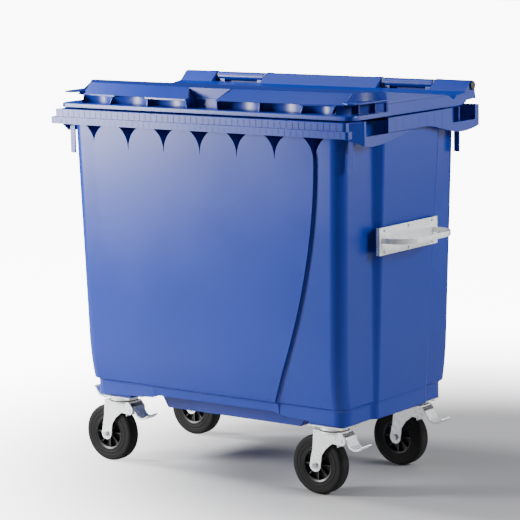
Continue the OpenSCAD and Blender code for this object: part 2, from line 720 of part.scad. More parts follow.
// ---- Direction lock: a foot lever at the front left castor ----
lock_p = [-castor_x - plate_lx / 2 - 9, plate_bottom - 6];
module direction_lock() {
    x = lock_p[0];
    z = lock_p[1];
    color(ZINC) translate([0, -castor_y, 0]) {
        rotate([90, 0, 0]) linear_extrude(40, center = true) {
            translate([x, z]) circle(r = 5);
            polygon([[x + 22, z - 4], [x + 22, z - 1], [x, z + 5], [x - 14, z + 5], [x - 24, z + 12],
                [x - 34, z + 28], [x - 44, z + 31], [x - 44, z + 27], [x - 36, z + 22], [x - 24, z],
                [x - 10, z - 5], [x, z - 5]]);
        }
    }
}

// ---- Which piece is drawn ----
module castor_piece(part) {
    if (part == "castor_plate") castor_plate();
    if (part == "king_pin") king_pin();
    if (part == "swivel_seal") swivel_seal();
    if (part == "fork") fork();
    if (part == "axle") axle();
    if (part == "roller_bearing") roller_bearing();
    if (part == "wheel_centre") wheel_centre();
    if (part == "tyre") tyre();
    if (part == "brake_pedal") brake_pedal();
    if (part == "brake_shoe") brake_shoe();
}
module handed(side) {
    mirror([side == "left" ? 1 : 0, 0, 0]) children();
}
body();
lid();
hinge_bushes();
hinge_end_caps();
drain_plug();
drain_seal();
castor_bolts();
castor_nuts();
swivel_balls();
direction_lock();
for (s = SIDES) {
    handed(s) hinge_rod();
    handed(s) handle_plate();
    handed(s) handle_loop();
    handed(s) handle_rivets();
}
for (i = [0:3]) for (p = CASTOR_PARTS)
    translate([castor_x * (i % 2 == 0 ? -1 : 1), castor_y * (i < 2 ? -1 : 1), 0]) castor_piece(p);
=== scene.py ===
"""Four-wheeled waste container: moulded blue shell and lid, zinc-plated castors and side handles."""
import json
import math
import bmesh
import bpy
from mathutils import Matrix, Vector


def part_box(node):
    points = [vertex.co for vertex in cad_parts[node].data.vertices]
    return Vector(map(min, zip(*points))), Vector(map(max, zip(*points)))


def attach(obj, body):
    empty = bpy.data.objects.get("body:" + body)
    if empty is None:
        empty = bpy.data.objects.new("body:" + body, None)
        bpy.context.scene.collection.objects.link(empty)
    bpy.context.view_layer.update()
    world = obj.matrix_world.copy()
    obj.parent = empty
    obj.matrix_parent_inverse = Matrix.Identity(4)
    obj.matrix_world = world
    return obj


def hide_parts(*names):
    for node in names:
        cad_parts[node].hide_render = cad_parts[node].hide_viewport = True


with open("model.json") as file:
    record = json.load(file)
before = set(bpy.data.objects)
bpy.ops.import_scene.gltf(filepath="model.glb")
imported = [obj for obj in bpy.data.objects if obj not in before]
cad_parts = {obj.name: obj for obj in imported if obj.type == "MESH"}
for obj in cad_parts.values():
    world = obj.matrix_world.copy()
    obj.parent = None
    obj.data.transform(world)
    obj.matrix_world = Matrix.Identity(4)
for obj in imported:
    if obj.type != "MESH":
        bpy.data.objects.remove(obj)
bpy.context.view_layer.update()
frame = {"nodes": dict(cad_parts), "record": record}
NODES = frame["nodes"]
MM = 0.001
SCENE = bpy.context.scene

# ---- Driving sizes, in millimetres, as the frame has them ----
RIM_X = 617.0
RIM_Y = 390.0
RIM_H = 1240.0
WALL = 5.0
BAND_T = 5.0
BAND_H = 49.0
BAND_STEP = 9.0
SKIRT_Z = 246.0
BODY_Z = 303.0
WALL_TOP = RIM_H - BAND_T
BAND_Z = RIM_H - BAND_H
POST_X = RIM_X - 57
FRONT_Y = RIM_Y - 44
POST_R = 45.0
PANEL_RAISE = 8.0
POCKET_PITCH = 151.7
SIDE_START = -300.0
GRIPS = [(-290.0, -163.0), (221.0, 366.0)]
HINGE_Y = RIM_Y - 25
HINGE_Z = RIM_H + 64
CASTOR_X, CASTOR_Y = 445.0, 239.0


# ================= Camera =================
def make_camera():
    """A long lens from the front right, a little above the rim."""
    yaw, pitch, roll = 0.6385, 0.1526, -0.018
    place = (4.8109, -6.5125, 1.9589)
    fwd = Vector((-math.sin(yaw) * math.cos(pitch), math.cos(yaw) * math.cos(pitch), -math.sin(pitch)))
    right = Vector((math.cos(yaw), math.sin(yaw), 0))
    up = right.cross(fwd)
    side = math.cos(roll) * right + math.sin(roll) * up
    top = -math.sin(roll) * right + math.cos(roll) * up
    data = bpy.data.cameras.new("camera")
    data.sensor_width = 36
    data.lens = 165.78
    cam = bpy.data.objects.new("camera", data)
    SCENE.collection.objects.link(cam)
    turn = Matrix((side, top, -fwd)).transposed().to_4x4()
    cam.matrix_world = Matrix.Translation(place) @ turn
    data.clip_end = 100
    SCENE.camera = cam


# ================= Mesh helpers =================
def prism(bm, outline, axis, lo, hi):
    """A polygon outline carried along an axis. The outline's two values are the other axes, in order."""
    def at(p, w):
        return Vector({"x": (w, p[0], p[1]), "y": (p[0], w, p[1]), "z": (p[0], p[1], w)}[axis])
    face = bm.faces.new([bm.verts.new(at(p, lo)) for p in outline])
    grown = bmesh.ops.extrude_face_region(bm, geom=[face])
    moved = [v for v in grown["geom"] if isinstance(v, bmesh.types.BMVert)]
    bmesh.ops.translate(bm, verts=moved, vec=at((0, 0), hi - lo))
    return moved


def block(bm, lo, hi):
    """An upright box between two corners."""
    prism(bm, [(lo[0], lo[1]), (hi[0], lo[1]), (hi[0], hi[1]), (lo[0], hi[1])], "z", lo[2], hi[2])


def skin(bm, cols, rows, place):
    """A grid of cols by rows points, each put where place says."""
    made = bmesh.ops.create_grid(bm, x_segments=cols - 1, y_segments=rows - 1, size=1.0)
    for v in made["verts"]:
        i = round((v.co.x + 1) / 2 * (cols - 1))
        j = round((v.co.y + 1) / 2 * (rows - 1))
        v.co = Vector(place(i, j))
    return made["verts"]


def lathe(bm, profile, centre, steps=72):
    """A closed ring of (radius, y) points spun about the Y direction through centre."""
    ring = [bm.verts.new((centre[0] + r, centre[1] + y, centre[2])) for r, y in profile]
    edges = [bm.edges.new((ring[i], ring[(i + 1) % len(ring)])) for i in range(len(ring))]
    bmesh.ops.spin(bm, geom=ring + edges, cent=centre, axis=(0, 1, 0), angle=2 * math.pi,
                   steps=steps, use_merge=True)


def bevel_edges(bm, width, angle=28, segments=2):
    edges = [e for e in bm.edges if e.is_manifold and e.calc_face_angle(0) > math.radians(angle)]
    bmesh.ops.bevel(bm, geom=edges, offset=width, offset_type="OFFSET", affect="EDGES",
                    segments=segments, profile=0.5, material=-1, clamp_overlap=True)


def finish_mesh(bm, name, material, body, replaces=(), scale=MM, sharp=32, normals=True, weighted=True):
    """Turns a bmesh in millimetres into a piece in metres that rides on a body."""
    bmesh.ops.remove_doubles(bm, verts=bm.verts, dist=0.005 * MM / scale)
    if normals:
        bmesh.ops.recalc_face_normals(bm, faces=bm.faces)
    bmesh.ops.scale(bm, vec=(scale,) * 3, verts=bm.verts)
    limit = math.radians(sharp)
    for f in bm.faces:
        f.smooth = True
    for e in bm.edges:
        e.smooth = not (e.is_manifold and e.calc_face_angle(0) > limit)
    mesh = bpy.data.meshes.new(name)
    bm.to_mesh(mesh)
    bm.free()
    piece = bpy.data.objects.new(name, mesh)
    SCENE.collection.objects.link(piece)
    mesh.materials.append(material)
    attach(piece, body)
    for node in replaces:
        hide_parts(node)
    if weighted:
        even = piece.modifiers.new("even_shading", "WEIGHTED_NORMAL")
        even.keep_sharp = True
        even.weight = 90
    return piece


def body_of_node(node):
    for body, members in frame["record"]["behaviour"]["bodies"].items():
        if node in members:
            return body
    raise KeyError(node)


def softened(node, material, width=0.6, angle=28, segments=2):
    """A copy of a CAD node with its loose triangles joined and its edges rounded."""
    bm = bmesh.new()
    bm.from_mesh(NODES[node].data)
    bmesh.ops.remove_doubles(bm, verts=bm.verts, dist=1e-6)
    bmesh.ops.dissolve_limit(bm, angle_limit=math.radians(1.0), verts=bm.verts, edges=bm.edges)
    bevel_edges(bm, width * MM, angle, segments)
    bmesh.ops.triangulate(bm, faces=[f for f in bm.faces if len(f.verts) > 4], ngon_method="EAR_CLIP")
    return finish_mesh(bm, node + "_finished", material, body_of_node(node), [node], scale=1.0,
                       normals=False)


# ================= Materials =================
def nodes_of(name):
    mat = bpy.data.materials.new(name)
    mat.use_nodes = True
    tree = mat.node_tree
    shader = tree.nodes["Principled BSDF"]
    return mat, tree, shader


def mottle_group():
    """Cloudy variation and fine grain, both read from the piece's own place."""
    g = bpy.data.node_groups.new("mottle", "ShaderNodeTree")
    for socket, kind, value in (("Cloud scale", "NodeSocketFloat", 3.0), ("Grain scale", "NodeSocketFloat", 400.0),
                                ("Grain amount", "NodeSocketFloat", 0.3)):
        g.interface.new_socket(socket, in_out="INPUT", socket_type=kind).default_value = value
    g.interface.new_socket("Cloud", in_out="OUTPUT", socket_type="NodeSocketFloat")
    g.interface.new_socket("Grain", in_out="OUTPUT", socket_type="NodeSocketFloat")
    g.interface.new_socket("Scratches", in_out="OUTPUT", socket_type="NodeSocketFloat")
    inp, out = g.nodes.new("NodeGroupInput"), g.nodes.new("NodeGroupOutput")
    coord = g.nodes.new("ShaderNodeTexCoord")
    cloud, grain = g.nodes.new("ShaderNodeTexNoise"), g.nodes.new("ShaderNodeTexNoise")
    cloud.inputs["Detail"].default_value = 5
    grain.inputs["Detail"].default_value = 3
    lines = g.nodes.new("ShaderNodeTexNoise")
    lines.inputs["Detail"].default_value = 6
    stretch = g.nodes.new("ShaderNodeMapping")
    stretch.inputs["Scale"].default_value = (90, 90, 2.5)
    lines.inputs["Scale"].default_value = 1.6
    thin = g.nodes.new("ShaderNodeMapRange")
    for key, v in (("From Min", 0.62), ("From Max", 0.7)):
        thin.inputs[key].default_value = v
    scale = g.nodes.new("ShaderNodeMath")
    scale.operation = "MULTIPLY"
    for a, b in ((coord.outputs["Object"], cloud.inputs["Vector"]), (coord.outputs["Object"], grain.inputs["Vector"]),
                 (coord.outputs["Object"], stretch.inputs["Vector"]), (stretch.outputs[0], lines.inputs["Vector"]),
                 (inp.outputs["Cloud scale"], cloud.inputs["Scale"]),
                 (inp.outputs["Grain scale"], grain.inputs["Scale"]), (cloud.outputs["Fac"], out.inputs["Cloud"]),
                 (grain.outputs["Fac"], scale.inputs[0]), (inp.outputs["Grain amount"], scale.inputs[1]),
                 (scale.outputs[0], out.inputs["Grain"]), (lines.outputs["Fac"], thin.inputs["Value"]),
                 (thin.outputs["Result"], out.inputs["Scratches"])):
        g.links.new(a, b)
    return g


def ramp_between(tree, value, low, high, lo=0.3, hi=0.7):
    ramp = tree.nodes.new("ShaderNodeValToRGB")
    ramp.color_ramp.elements[0].position, ramp.color_ramp.elements[0].color = lo, (*low, 1)
    ramp.color_ramp.elements[1].position, ramp.color_ramp.elements[1].color = hi, (*high, 1)
    tree.links.new(value, ramp.inputs[0])
    return ramp.outputs[0]


def map_range(tree, value, to_min, to_max, from_min=0.3, from_max=0.7):
    n = tree.nodes.new("ShaderNodeMapRange")
    for key, v in (("From Min", from_min), ("From Max", from_max), ("To Min", to_min), ("To Max", to_max)):
        n.inputs[key].default_value = v
    tree.links.new(value, n.inputs["Value"])
    return n.outputs["Result"]


MOTTLE = mottle_group()


def surface(name, low, high, rough, metallic=0.0, cloud=3.0, grain=400.0, bump=0.1, depth=0.0003,
            scratch=None, specular=0.5):
    """A finish: two near colours in a cloud, a roughness range, fine grain as bump, and faint scratches."""
    mat, tree, shader = nodes_of(name)
    g = tree.nodes.new("ShaderNodeGroup")
    g.node_tree = MOTTLE
    g.inputs["Cloud scale"].default_value = cloud
    g.inputs["Grain scale"].default_value = grain
    g.inputs["Grain amount"].default_value = 1.0
    colour = ramp_between(tree, g.outputs["Cloud"], low, high)
    if scratch:
        mix = tree.nodes.new("ShaderNodeMix")
        mix.data_type = "RGBA"
        mix.inputs["B"].default_value = (*scratch, 1)
        share = map_range(tree, g.outputs["Scratches"], 0.0, 0.35, 0.0, 1.0)
        tree.links.new(share, mix.inputs["Factor"])
        tree.links.new(colour, mix.inputs["A"])
        colour = mix.outputs["Result"]
    tree.links.new(colour, shader.inputs["Base Color"])
    tree.links.new(map_range(tree, g.outputs["Cloud"], rough[0], rough[1]), shader.inputs["Roughness"])
    shader.inputs["Metallic"].default_value = metallic
    shader.inputs["Specular IOR Level"].default_value = specular
    b = tree.nodes.new("ShaderNodeBump")
    b.inputs["Strength"].default_value = bump
    b.inputs["Distance"].default_value = depth
    tree.links.new(g.outputs["Grain"], b.inputs["Height"])
    tree.links.new(b.outputs[0], shader.inputs["Normal"])
    return mat


BLUE = surface("moulded_blue", (0.0012, 0.023, 0.26), (0.0018, 0.027, 0.30), (0.30, 0.38), cloud=2.2, grain=550,
               bump=0.12, depth=0.0002, specular=0.42)
ZINC = surface("zinc_plating", (0.88, 0.90, 0.90), (0.95, 0.96, 0.96), (0.22, 0.30), metallic=0.35, cloud=38,
               grain=900, bump=0.04, depth=0.0001, scratch=(0.68, 0.70, 0.73))
YELLOW = surface("yellow_zinc", (0.62, 0.50, 0.24), (0.80, 0.72, 0.45), (0.25, 0.4), metallic=0.9, cloud=80)
STEEL = surface("turned_steel", (0.42, 0.43, 0.45), (0.58, 0.59, 0.61), (0.25, 0.4), metallic=1.0, cloud=70)
BLACK = surface("black_plastic", (0.012, 0.012, 0.013), (0.022, 0.022, 0.024), (0.35, 0.5), cloud=12, grain=700)
RUBBER = surface("seal_rubber", (0.010, 0.010, 0.010), (0.02, 0.02, 0.02), (0.55, 0.7), cloud=20)
TYRE = surface("solid_tyre", (0.008, 0.0078, 0.0075), (0.014, 0.0134, 0.0128), (0.6, 0.78), cloud=26, grain=500,
               bump=0.25, depth=0.0003, specular=0.18)
NYLON = surface("natural_nylon", (0.70, 0.62, 0.40), (0.82, 0.76, 0.56), (0.4, 0.5), cloud=40)


# ================= Container: the moulded wall =================
def up_share(z):
    return max(0.0, min(1.0, (z - BODY_Z) / (WALL_TOP - BODY_Z)))


def half_x(z):
    return POST_X - 26 * (1 - up_share(z))


def half_y(z):
    return FRONT_Y - 16 * (1 - up_share(z)) - 16 * max(0.0, min(1.0, 1 - (z - BODY_Z) / 150)) ** 2


def bulge(z):
    return 11 + 21 * up_share(z)


def panel_x(z):
    share = max(0.0, min(1.0, (z - BODY_Z) / (RIM_H - 120 - BODY_Z)))
    return 267 + 189 * (1 - (1 - share) ** 1.85)


POCKET_TIP, POCKET_TOP = RIM_H - 125, RIM_H - 49
FILL = 7


def pocket_share(z):
    return max(0.0, min(1.0, (z - POCKET_TIP) / (POCKET_TOP - POCKET_TIP)))


def front_points(z, inset):
    """Right half of the front wall: three pockets, and the raised panel's edge running into the last one."""
    t = pocket_share(z)
    w = 1.2 + POCKET_PITCH / 2 * (1 - math.sqrt(1 - (0.93 * t) ** 2))
    d = 52 * (1 - (1 - t) ** 3)
    y = -half_y(z) + inset
    edge = panel_x(z)
    fade = max(0.0, min(1.0, (z - BODY_Z + 30) / 40))
    raised = y - PANEL_RAISE * fade
    pitch = POCKET_PITCH * edge / panel_x(RIM_H)
    pts = []
    start = 0.0
    for k in range(4):
        c = pitch * k if k < 3 else edge
        low = c - w if k else 0.0
        if k:
            for i in range(FILL):
                s = i / FILL
                pts.append((start + (low - start) * s, raised))
        last = k == 3
        side = y if last else raised
        groove = 1.2 if last else 0.0
        if k:
            pts.append((c - w, raised))
        pts.append((c, raised + d + (PANEL_RAISE * fade * 0.75 if last else 0.0)))
        pts.append((c + w + (1.2 * (1 - t) if last else 0.0), side + groove * (1 - t)))
        start = c + w
    return pts, y


def arc(cx, cy, r, a0, a1, n):
    return [(cx + r * math.cos(math.radians(a0 + (a1 - a0) * i / n)),
             cy + r * math.sin(math.radians(a0 + (a1 - a0) * i / n))) for i in range(n + 1)]


def rounded(points, radius, n=4):
    """Rounds the inner corners of an open run of points with arcs."""
    out = [points[0]]
    for a, b, c in zip(points, points[1:], points[2:]):
        va, vc = Vector(a) - Vector(b), Vector(c) - Vector(b)
        r = min(radius, va.length * 0.45, vc.length * 0.45)
        pa, pc = Vector(b) + va.normalized() * r, Vector(b) + vc.normalized() * r
        for i in range(n + 1):
            s = i / n
            q = pa * (1 - s) ** 2 + Vector(b) * 2 * s * (1 - s) + pc * s ** 2
            out.append((q.x, q.y))
    out.append(points[-1])
    return out


def side_points(z, inset, sunk):
    u = up_share(z)
    x = half_x(z) - inset - sunk
    out = x + bulge(z) + sunk * 0.8
    b0, b1 = -130 - 16 * u, 165 + 21 * u
    ramp = out - x
    run = rounded([(x, -200), (x, b0 - ramp), (out, b0), (out, b1), (x, b1 + 0.35 * ramp), (x, 240)], 9)
    return run


def half_ring(z, inset, sunk=0.0):
    front, y = front_points(z, inset)
    x = half_x(z) - inset - sunk
    r = POST_R - inset
    front = [(px, py + sunk * 2.2) for px, py in front]
    y += sunk * 2.2
    back = half_y(z) - inset - sunk * 2.2
    return (front + arc(x - r, y + r, r, -90, 0, 10) + side_points(z, inset, sunk)
            + arc(x - r, back - r, r, 0, 90, 10) + [(x * 0.5, back)])


def ring(z, inset, sunk=0.0):
    half = half_ring(z, inset, sunk)
    return [(x, y, z) for x, y in half] + [(-x, y, z) for x, y in reversed(half[1:])]


def wall_levels():
    low = [BODY_Z + 2, BODY_Z + 5, BODY_Z + 10, BODY_Z + 18, BODY_Z + 30, BODY_Z + 48, BODY_Z + 72, BODY_Z + 100]
    mid = [BODY_Z + 135 + i * 36 for i in range(19)]
    mid = [z for z in mid if z < POCKET_TIP - 10]
    top = [POCKET_TIP - 4 + (POCKET_TOP - POCKET_TIP + 4) * i / 16 for i in range(17)]
    return low + mid + top + [POCKET_TOP + 6, WALL_TOP + 2]


def foot(points, pull=False, lift=True):
    """The skirt's lower edge: raised over the middle of the front and back, between slanted steps."""
    out = []
    for x, y, z in points:
        rise = 21 * max(0.0, min(1.0, (292 - abs(x)) / 42)) if lift and abs(y) > 150 else 0.0
        out.append((x, max(-206.0, min(206.0, y)) if pull else y, z + rise))
    return out


def container_walls():
    levels = wall_levels()
    base = ring(SKIRT_Z, 0, 7)
    rings = [foot(base, True, False), foot(base, True), foot(ring(SKIRT_Z, 1.2, 7)), foot(ring(SKIRT_Z + 1.2, 0, 7)),
             ring(BODY_Z - 14, 0, 7), ring(BODY_Z - 7, 0, 6.6), ring(BODY_Z - 2, 0, 4.5), ring(BODY_Z, 0, 1.5)]
    rings += [ring(z, 0) for z in levels]
    rings += [ring(z, WALL) for z in reversed(levels)]
    deck = ring(SKIRT_Z + WALL, WALL, 9)
    rings += [ring(BODY_Z - 10, WALL, 7), foot(ring(SKIRT_Z + WALL + 6, WALL, 7.5)), foot(deck), foot(deck, True),
              foot(deck, True, False)]
    n = len(rings[0])
    bm = bmesh.new()
    skin(bm, n + 1, len(rings), lambda i, j: rings[j][i % n])
    bmesh.ops.remove_doubles(bm, verts=bm.verts, dist=0.01)
    bmesh.ops.holes_fill(bm, edges=[e for e in bm.edges if e.is_boundary], sides=0)
    return finish_mesh(bm, "container_walls", BLUE, "container", ["body"], sharp=38)


# ================= Container: rim, grips, fins =================
def side_edge(y):
    span = 293 if y < 43 else 247
    return BAND_Z - 34 + 37 * (0.5 + 0.5 * math.cos(math.pi * (y - 43) / span))


def side_band(bm):
    n = 48
    low = [(SIDE_START + (RIM_Y - SIDE_START) * i / n, side_edge(SIDE_START + (RIM_Y - SIDE_START) * i / n))
           for i in range(n + 1)]
    top = [(RIM_Y, RIM_H)]
    for y0, y1 in reversed(GRIPS):
        top += [(y1, RIM_H)] + arc(y1 - 6, BAND_Z + 6, 6, 0, -90, 4) + arc(y0 + 6, BAND_Z + 6, 6, -90, -180, 4)
        top += [(y0, RIM_H)]
    top += [(SIDE_START, RIM_H)]
    prism(bm, low + top, "x", RIM_X - BAND_T, RIM_X)
    for y0, y1 in GRIPS:
        mid = side_edge((y0 + y1) / 2)
        block(bm, (RIM_X - 14, y0 - 6, mid + 5), (RIM_X - BAND_T - 0.2, y1 + 6, BAND_Z - 0.3))
        for y in (y0 - 4, y1):
            block(bm, (POST_X - 4, y, BAND_Z - 8), (RIM_X - BAND_T - 0.2, y + 4, RIM_H - 0.4))


def strip(bm, path, thick, lo, hi):
    """A wall along a path in plan, thick towards its left, from lo to hi."""
    inner = []
    for i, p in enumerate(path):
        a, c = Vector(path[max(i - 1, 0)]), Vector(path[min(i + 1, len(path) - 1)])
        run = (c - a).normalized()
        inner.append((p[0] - run.y * thick, p[1] + run.x * thick))
    prism(bm, path + inner[::-1], "z", lo, hi)


def band_path(x, y, back, r):
    """The front of a rim band with its ends turned back round the corners."""
    return ([(-x, back)] + arc(-x + r, y + r, r, 180, 270, 6) + arc(x - r, y + r, r, 270, 360, 6) + [(x, back)])


def container_rim():
    bm = bmesh.new()
    low_top = BAND_Z + BAND_H * 0.47
    w = RIM_X - 4
    strip(bm, band_path(w, -RIM_Y, -RIM_Y + 26, 9), BAND_T, BAND_Z, low_top)
    strip(bm, band_path(w - 2, -RIM_Y + 2.5, -RIM_Y + 22, 7), BAND_T + BAND_STEP, low_top - BAND_T, low_top - 0.6)
    strip(bm, band_path(w - 14, -RIM_Y + BAND_STEP, -RIM_Y + 30, 8), BAND_T, low_top - BAND_T, RIM_H)
    block(bm, (-RIM_X, RIM_Y - BAND_T, BAND_Z), (RIM_X, RIM_Y, RIM_H))
    for mirror in (1, -1):
        start = set(bm.verts)
        side_band(bm)
        cx, cy = RIM_X - 40, -RIM_Y + 17
        z0 = side_edge(SIDE_START)
        prism(bm, [(cx, BAND_Z), (RIM_X - 1, z0 + 4), (RIM_X - 1, RIM_H), (cx, RIM_H)], "y", 0, BAND_T)
        for v in [v for v in bm.verts if v not in start and -0.1 < v.co.y < BAND_T + 0.1 and v.co.x >= cx - 1]:
            run = (v.co.x - cx) / (RIM_X - 1 - cx)
            v.co.y = cy + run * (SIDE_START - 1 - cy) + v.co.y
        for y in (-318, FRONT_Y - POST_R + 8):
            block(bm, (POST_X + 7, y, RIM_H - 155), (POST_X + 27, y + 6, WALL_TOP))
        block(bm, (POST_X - 4, 290, BAND_Z - 26), (POST_X, RIM_Y - BAND_T, WALL_TOP - 0.5))
        block(bm, (RIM_X - 30, SIDE_START - 2, BAND_Z), (RIM_X - BAND_T, SIDE_START + 2, RIM_H - 0.5))
        for v in bm.verts:
            if v not in start:
                v.co.x *= mirror
    bmesh.ops.recalc_face_normals(bm, faces=bm.faces)
    bevel_edges(bm, 1.3)
    ticks(bm, low_top, w)
    finish_mesh(bm, "container_rim", BLUE, "container", ["body"])
    rim_top()


def rim_top():
    """The flat land between the wall and the bands, open over the four grips."""
    inner = [(x, y) for x, y, z in ring(WALL_TOP, WALL + 0.2)]
    edge = RIM_X - 1.5
    outer = [(-edge + 21, -RIM_Y + BAND_STEP + 1.5), (edge - 21, -RIM_Y + BAND_STEP + 1.5), (edge - 21, -RIM_Y + 36),
             (edge, SIDE_START)]
    for y0, y1 in GRIPS:
        outer += [(edge, y0 - 1), (POST_X + 2, y0 - 1), (POST_X + 2, y1 + 1), (edge, y1 + 1)]
    outer += [(edge, RIM_Y - 1.5)]
    outer += [(-x, y) for x, y in reversed(outer[2:])]
    bm = bmesh.new()
    loops = []
    for pts in (outer, inner):
        vs = [bm.verts.new((x, y, WALL_TOP)) for x, y in pts]
        loops += [bm.edges.new((vs[i], vs[(i + 1) % len(vs)])) for i in range(len(vs))]
    bmesh.ops.triangle_fill(bm, use_beauty=True, use_dissolve=False, edges=loops)
    grown = bmesh.ops.extrude_face_region(bm, geom=list(bm.faces))
    bmesh.ops.translate(bm, verts=[v for v in grown["geom"] if isinstance(v, bmesh.types.BMVert)],
                        vec=(0, 0, BAND_T - 0.8))
    bmesh.ops.recalc_face_normals(bm, faces=bm.faces)
    finish_mesh(bm, "container_rim_land", BLUE, "container", ["body"])


def ticks(bm, low_top, w):
    """Fine upright ribs along both front bands and the side bands."""
    pitch, half = 24.0, 0.7
    n = int((w - 14) / pitch)
    for k in range(-n, n + 1):
        x = k * pitch + pitch / 2
        if abs(x) < w - 24:
            block(bm, (x - half, -RIM_Y, BAND_Z + 2.2), (x + half, -RIM_Y + 2, low_top - 2.2))
            block(bm, (x - half, -RIM_Y + BAND_STEP - 0.8, low_top + 0.5),
                  (x + half, -RIM_Y + BAND_STEP + 2, RIM_H - 2.2))
    for v in bm.verts:
        v.co.y = max(v.co.y, -RIM_Y)
    for k in range(7):
        y = -120 + k * 46
        for s in (-1, 1):
            lo, hi = sorted((s * (RIM_X - 1), s * (RIM_X + 0.25)))
            block(bm, (lo, y - 0.6, side_edge(y) + 4), (hi, y + 0.6, RIM_H - 8))


# ================= Container: base, sump, posts =================
def container_base():
    bm = bmesh.new()
    prism(bm, [(-282, 203), (282, 203), (311, SKIRT_Z + 4), (-311, SKIRT_Z + 4)], "y", -199, 199)
    for x in (-CASTOR_X, CASTOR_X):
        for y in (-CASTOR_Y, CASTOR_Y):
            block(bm, (x - 71, y - 47, 240), (x + 71, y + 47, SKIRT_Z + 3))
    for s in (-1, 1):
        for a, b in ((256, 284), (427, 455)):
            lo, hi = sorted((s * a, s * b))
            prism(bm, [(HINGE_Y - 15, WALL_TOP + 2), (HINGE_Y + 15, WALL_TOP + 2), (HINGE_Y + 13, HINGE_Z - 6),
                       (HINGE_Y + 8, HINGE_Z + 4), (HINGE_Y - 8, HINGE_Z + 4), (HINGE_Y - 13, HINGE_Z - 6)],
                  "x", lo, hi)
        lo, hi = sorted((s * 280, s * 431))
        block(bm, (lo, HINGE_Y + 6, WALL_TOP + 2), (hi, HINGE_Y + 12, HINGE_Z - 4))
        for y in (-152, -10, 134):
            lo, hi = sorted((s * 560, s * 586.8))
            block(bm, (lo, y - 14, 798), (hi, y + 14, 882))
    bevel_edges(bm, 2.2, segments=3)
    for s in (-1, 1):
        made = bmesh.ops.create_cone(bm, cap_ends=True, segments=48, radius1=16, radius2=16, depth=199)
        bmesh.ops.rotate(bm, verts=made["verts"], cent=(0, 0, 0), matrix=Matrix.Rotation(math.pi / 2, 3, "Y"))
        bmesh.ops.translate(bm, verts=made["verts"], vec=(s * 355.5, HINGE_Y, HINGE_Z))
    finish_mesh(bm, "container_base", BLUE, "container", ["body"])


# ================= Lid =================
LID_X, FLANGE_FRONT = 609.0, -351.0
LID_TOP, LIP_Z = 1324.8, 1287.0
FLANGE_LO, FLANGE_HI = 1244.0, 1259.0
TRAY_BACK = 322.0
SIDE_TOP = [(-400, LID_TOP), (-173, LID_TOP), (182, 1288), (212, 1282), (242, 1267), (264, 1279), (340, 1290)]
RIBS = [64, 232, 395, 518]
RECESS = (247.0, 464.0)
# The thin blade that runs round each front corner, in plan, and its underside and top
WING = [(536, -300), (556, -322), (578, -335), (595, -331), (604, -312), (607.5, -276), (608.4, -230),
        (608.4, -153), (598, -153), (586, -196), (566, -232), (548, -258)]
WING_Z = (1293.0, 1297.5)


def top_height(y):
    for (y0, z0), (y1, z1) in zip(SIDE_TOP, SIDE_TOP[1:]):
        if y <= y1:
            return z0 + (z1 - z0) * (y - y0) / (y1 - y0)
    return SIDE_TOP[-1][1]


def lip_y(x):
    return -(301 + 44 * (1 - (x / 540) ** 2))


def crest_y(x):
    return -(256 + 30 * (1 - (x / 545) ** 2))


def pocket_back(x):
    """The scalloped wall behind the lip, one scallop to each bay."""
    for a, b in zip(RIBS, RIBS[1:]):
        if a <= x <= b:
            return -318 + 24 * math.sin(math.pi * (x - a) / (b - a))
    return -318 + 20 * min(1.0, max(0.0, x - RIBS[-1]) / 20)


def lip_drop(x, side):
    """How far the lip's lower edge is lifted: it steps along its length, and not alike on the two halves."""
    if side < 0:
        return 5.0 if 240 < x < 384 else 0.0
    return 5.0 if x < 386 else 0.0


def notch_flare(x):
    """How far the notch's upper edge stands outside its foot."""
    return 24 * max(0.0, min(1.0, 1 - (x - 61.6) / 90)) if x > 61 else 0.0


def lid_stations(side):
    """Points around half of the lid: flange, pocket wall, lip edge, crest, and how high the lip's underside is."""
    out = []
    for x in (0.0, 30.0, 61.6):
        back = -292.0
        flared = x + notch_flare(x)
        out.append(((x, FLANGE_FRONT), (x, back), (x, back - 0.4), (flared, back + 2), 0.0))
    xs = sorted({62.0, 72, 90, 120, 150, 180, 205, 232, 239.8, 240.2, 270, 300, 330, 360, 383.8, 384.2, 386.2, 395,
                 420, 450, 480, 505, 518, 530})
    for x in xs:
        out.append(((x * 1.02, FLANGE_FRONT), (x, pocket_back(x)), (x, lip_y(x)),
                    (x + notch_flare(x), crest_y(x)), lip_drop(x, side)))
    out += [((576, FLANGE_FRONT), (536, -296), (538, -301), (541, -256), 0.0),
            ((586, -349), (540, -290), (549, -316), (544, -253), 3.0),
            ((598, -341), (546, -278), (558, -300), (550, -246), 4.0),
            ((605, -326), (556, -252), (571, -250), (560, -233), 4.0),
            ((608, -300), (572, -222), (584, -216), (578, -211), 4.0),
            ((LID_X, -250), (590, -190), (594, -192), (592, -194), 4.0),
            ((LID_X, -200), (597, -168), (602, -168), (603, -180), 4.0),
            ((LID_X, -160), (600, -157), (606, -157), (607, -170), 4.0),
            ((LID_X, -152), (LID_X, -152), (LID_X, -152), (LID_X, -160), 0.0)]
    for y in (-120, -60, 0, 60, 120, 182, 200, 212, 222, 232, 242, 250, 258, 264, 290, TRAY_BACK):
        out.append(((LID_X, y), (LID_X, y), (LID_X, y), (LID_X - 0.6, y), 0.0))
    for x in (RECESS[1], 355, RECESS[0], 120, 0):
        out.append(((x, TRAY_BACK),) * 4 + (0.0,))
    return out


